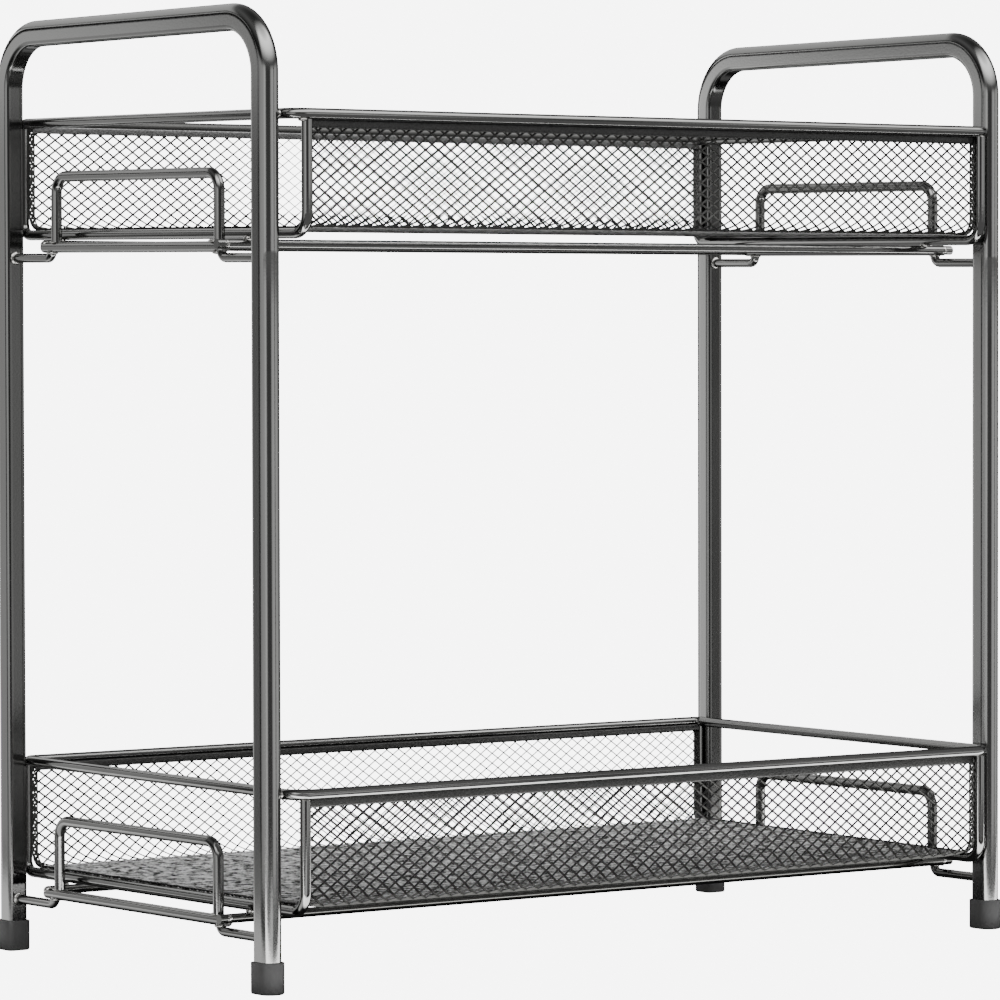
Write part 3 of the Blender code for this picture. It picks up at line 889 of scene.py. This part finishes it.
def tier_beads(base):
    """Places and half sizes of one tier's welds."""
    rim, under = base + RIM_UP, base + RIM_UP - RIM_WIRE / 2
    for side, sign in SIDES.items():
        low = base - SIDE_DROP[side]
        for facing in FACES.values():
            post_y = facing * POST_Y + SHIFT
            inner_y = facing * (POST_Y - TUBE_DEPTH / 2) + SHIFT
            end_y = (END_FRONT if facing < 0 else END_BACK) + SHIFT
            # Rim to post, bracket to post and bracket to side wire
            yield (sign * (POST_X - TUBE_WIDTH / 2 - 0.0004), post_y, rim), (0.0013, 0.0034, 0.0021)
            yield (sign * POST_X, inner_y - facing * 0.0002, base - BRACKET_DROP), (0.0029, 0.0010, 0.0029)
            yield (sign * POST_X, facing * BRACKET_REACH + SHIFT, low - 0.0023), (0.0026, 0.0027, 0.0009)
            # Guard to side wire, side wire to cross wire
            yield (sign * POST_X, facing * GUARD_LEG + SHIFT, low + 0.0024), (0.0027, 0.0030, 0.0008)
            yield (sign * POST_X, facing * BASE_Y + SHIFT, base), (0.0023, 0.0023, 0.0021)
            # End wire to cross wire, end wire to rim
            yield (sign * end_x(facing * BASE_Y), facing * BASE_Y + SHIFT, base + 0.0024), (0.0021, 0.0022, 0.0014)
            yield (sign * end_x(end_y), end_y, under - 0.0002), (0.0022, 0.0021, 0.0009)


for tier, base in TIERS.items():
    beads = [bead(place, size, seed) for seed, (place, size) in enumerate(tier_beads(base))]
    made = join_pieces(f"{tier}_welds", beads)
    print(made.name, len(beads), "beads", len(made.data.polygons), "faces")

# %% [markdown]
# **Small faults of the real rack.** In the photograph the upper tray leans forward: its
# two cross wires lie in one line, though the camera is below them, and so do front and
# back edge of its floor. That takes one millimetre in ten centimetres. The lower tray
# leans half as much off its base, and the upper tray's front left end stands further in.

# %% The lean of the trays
LEAN = {"lower": (0.005, 0.0008), "upper": (0.010, 0.0)}
SKEW, SKEW_FROM, SKEW_OVER = 0.0018, -0.15, 0.03
HUNG = ("rim", "tray_end", "net", "hem")
for item in [item for item in bpy.data.objects if item.name.split("_")[0] in TIERS and item.name not in cad_names]:
    tier = item.name.split("_")[0]
    slope, lift = LEAN[tier]
    whole = tier == "upper" or any(word in item.name for word in HUNG)
    skewed = tier == "upper" and any(word in item.name for word in HUNG[1:])
    for vertex in item.data.vertices:
        x, y, z = vertex.co.x, vertex.co.y - SHIFT, vertex.co.z
        if whole or ("welds" in item.name and z > TIERS[tier] + 0.03):
            vertex.co.z = z + slope * y + lift
        if skewed:
            vertex.co.x = x + SKEW * share((SKEW_FROM - x) / SKEW_OVER) * max(0.0, y / END_FRONT)
print("lean of the trays", LEAN)

# %% [markdown]
# **The studio.** A pale floor and soft lamps. Plated metal only looks like metal when it
# has something to mirror, so the lamps are large panels, with darker room between them.

# %% Floor and surroundings
FULL_LIGHT = 7.0
STAGE_RADIUS = 7.0


def glow_finish(name, glow):
    finish = Finish(name)
    finish.set(Base_Color=(0.0, 0.0, 0.0, 1.0), Roughness=1.0, Specular_IOR_Level=0.0)
    finish.set(Emission_Color=(1.0, 1.0, 1.0, 1.0), Emission_Strength=glow)
    return finish


def set_stage(item, name):
    item.name = name
    item.data.materials.append(glow_finish(name + "_finish", FULL_LIGHT).material)
    item.visible_glossy = item.visible_diffuse = item.visible_shadow = False


clean_start()
bpy.ops.mesh.primitive_circle_add(vertices=96, radius=STAGE_RADIUS, fill_type="NGON", location=(0.0, 0.0, -0.0002))
set_stage(bpy.context.object, "studio_floor")
clean_start()
bpy.ops.mesh.primitive_uv_sphere_add(segments=64, ring_count=32, radius=STAGE_RADIUS)
set_stage(bpy.context.object, "studio_backdrop")
print("stage: floor and backdrop")

# %% [markdown]
# Three more things are seen only by the metal. A table top is lit in a strip before the
# rack and dim elsewhere. A dark card, as photographers use, lies flat in front at the height
# of the upper tray. It keeps the upper lights out of the lower rail. And a panel behind on
# the left stands so near that each post shows it in another tone. Lamps alone would give
# points of light. Shaded planes give the long soft lines that plated wire shows.

# %% Table strip, card and side panel
TABLE_STRIP = [(0.0, 0.06), (0.19, 0.06), (0.215, 0.003), (0.285, 0.003), (0.30, 0.95), (0.372, 0.95), (0.382, 0.004),
               (0.61, 0.004), (0.65, 0.06)]
TABLE_LEFT = [(0.0, 0.0), (0.13, 0.0), (0.15, 0.2), (0.27, 0.2), (0.30, 0.0), (1.0, 0.0)]
SIDE_TONES = [(0.0, 0.01), (0.27, 0.012), (0.38, 0.095), (0.61, 0.11), (0.74, 0.26), (1.0, 0.26)]
PLAIN, LIFTED, DARK = (1.0, 0.0, 0.0), (1.0, 0.5, 0.0), (0.0, 0.0, 0.0)
SIDE_ROWS = [(0.0, PLAIN), (0.37, PLAIN), (0.42, LIFTED), (0.448, LIFTED), (0.462, DARK), (0.57, DARK), (0.60, LIFTED),
             (1.0, LIFTED)]


def table_finish():
    """Shows a strip over the depth and a paler patch on the left."""
    finish = glow_finish("table_finish", 1.0)
    across, depth, _ = finish.parts(finish.place())
    finish.set(Emission_Color=(finish.tones(depth + 0.5, TABLE_STRIP) + finish.tones(across + 0.5, TABLE_LEFT))
               * FULL_LIGHT)
    return finish.material


def side_finish():
    """Shows tones along its width. By height they are plain, lifted or cut to a dark band."""
    finish = glow_finish("side_finish", 1.0)
    across, depth, height = finish.parts(finish.place())
    rows = finish.node("ShaderNodeSeparateColor", inputs={0: finish.tones(height, SIDE_ROWS)})
    lit, lift = [Value(finish, rows.socket.node.outputs[part]) for part in (0, 1)]
    tone = finish.tones((across * 0.8 + depth * 0.6) * 1.1 + 0.5, SIDE_TONES)
    finish.set(Emission_Color=tone * lit * FULL_LIGHT + lift)
    return finish.material


def mirrored(name, place, size, material, turns=(0.0, 0.0, 0.0)):
    clean_start()
    bpy.ops.mesh.primitive_plane_add(size=1.0, location=place, rotation=turns)
    item = bpy.context.object
    item.scale = (*size, 1.0)
    bpy.ops.object.transform_apply(location=True, rotation=True, scale=True)
    item.name = name
    item.data.materials.append(material)
    item.visible_camera = item.visible_diffuse = item.visible_shadow = False


mirrored("studio_table", (0.0, 0.0, -0.0001), (1.1, 1.0), table_finish())
mirrored("studio_card", (0.3, -0.2915, 0.30), (1.4, 0.357), glow_finish("card_finish", 0.3).material)
mirrored("studio_side", (-0.54, 0.72, 0.25), (0.9, 0.8), side_finish(), (math.pi / 2, 0.0, math.atan2(0.6, 0.8)))
print("seen by the metal: table, card and side panel")

# %% [markdown]
# The metal mirrors a room that the camera never sees. Round it stand tall panels, bright
# to the left and front right, with dark room between them. Above, the room is lit mostly
# in front. The panels are a ramp round the compass, seen near the level, and the light
# above them is a ramp over height. An image of a studio would do the same, but a ramp can be
# read and changed number by number.

# %% The room that the metal mirrors
room = Finish("studio_room", bpy.data.worlds, "Background")
bpy.context.scene.world = room.material
across, depth, height = room.parts(room.node("ShaderNodeTexCoord", output="Generated"))
turn = room.node("ShaderNodeMath", {"operation": "ARCTAN2"}, {0: across, 1: depth * -1.0})
compass = turn * (0.5 / math.pi) + 0.5
PANELS = [(-180, 0.5), (-168, 0.4), (-155, 0.09), (-140, 0.30), (-125, 0.70), (-100, 0.90), (-75, 1.0), (-62, 1.6),
          (-54, 1.1), (-48, 0.2), (-40, 0.13), (-8, 0.13), (0, 0.8), (8, 1.15), (32, 1.15), (34, 0.08), (39, 0.08),
          (41, 1.15), (66, 1.1), (82, 0.45), (95, 0.25), (125, 0.12), (150, 0.09), (165, 0.4), (180, 0.5)]
HEIGHTS = [(-1.0, 0.06), (-0.5, 0.06), (-0.2, 0.04), (0.28, 0.03), (0.42, 0.2), (0.6, 0.5), (0.75, 0.62), (0.85, 0.4),
           (1.0, 0.15)]
panels = room.tones(compass, [((degrees + 180) / 360, tone / 2) for degrees, tone in PANELS])
levels = room.tones(height * 0.5 + 0.5, [((up + 1) / 2, tone) for up, tone in HEIGHTS])
near_level = room.between(height * height, 0.01, 0.05, 1.0, 0.0, "SMOOTHSTEP")
front_share = room.between(depth, -0.28, -0.02, 1.0, 0.06)
back_share = room.between(depth, 0.66, 0.76, 0.0, 0.13) * room.between(height * height, 0.09, 0.17)
over_head = (levels * front_share + back_share) * (1.0 - near_level)
room.set(Color=panels * near_level * 2.0 + over_head * FULL_LIGHT, Strength=1.0)
print("room panels:", len(PANELS), "levels:", len(HEIGHTS))

# %% [markdown]
# Three soft lamps add what the panels can't: a little light on the plastic feet and on the
# duller net. They are area lamps, because a small lamp would give hard edges, and the
# metal doesn't see them.

# %% The lamps
def panel(name, place, target, wide, high, watts):
    clean_start()
    bpy.ops.object.light_add(type="AREA", location=place)
    lamp = bpy.context.object
    lamp.name = name
    lamp.data.shape, lamp.data.size, lamp.data.size_y = "RECTANGLE", wide, high
    lamp.data.energy = watts
    lamp.visible_glossy = False
    lamp.rotation_euler = (Vector(target) - Vector(place)).to_track_quat("-Z", "Y").to_euler()
    return lamp


panel("front_left_panel", (-2.6, -1.2, 1.4), (0.0, 0.0, 0.2), 0.7, 1.8, 30.0)
panel("front_right_panel", (1.2, -2.6, 1.2), (0.0, 0.0, 0.2), 0.5, 1.8, 25.0)
panel("overhead_panel", (0.0, 0.2, 2.4), (0.0, 0.0, 0.2), 1.6, 1.2, 40.0)
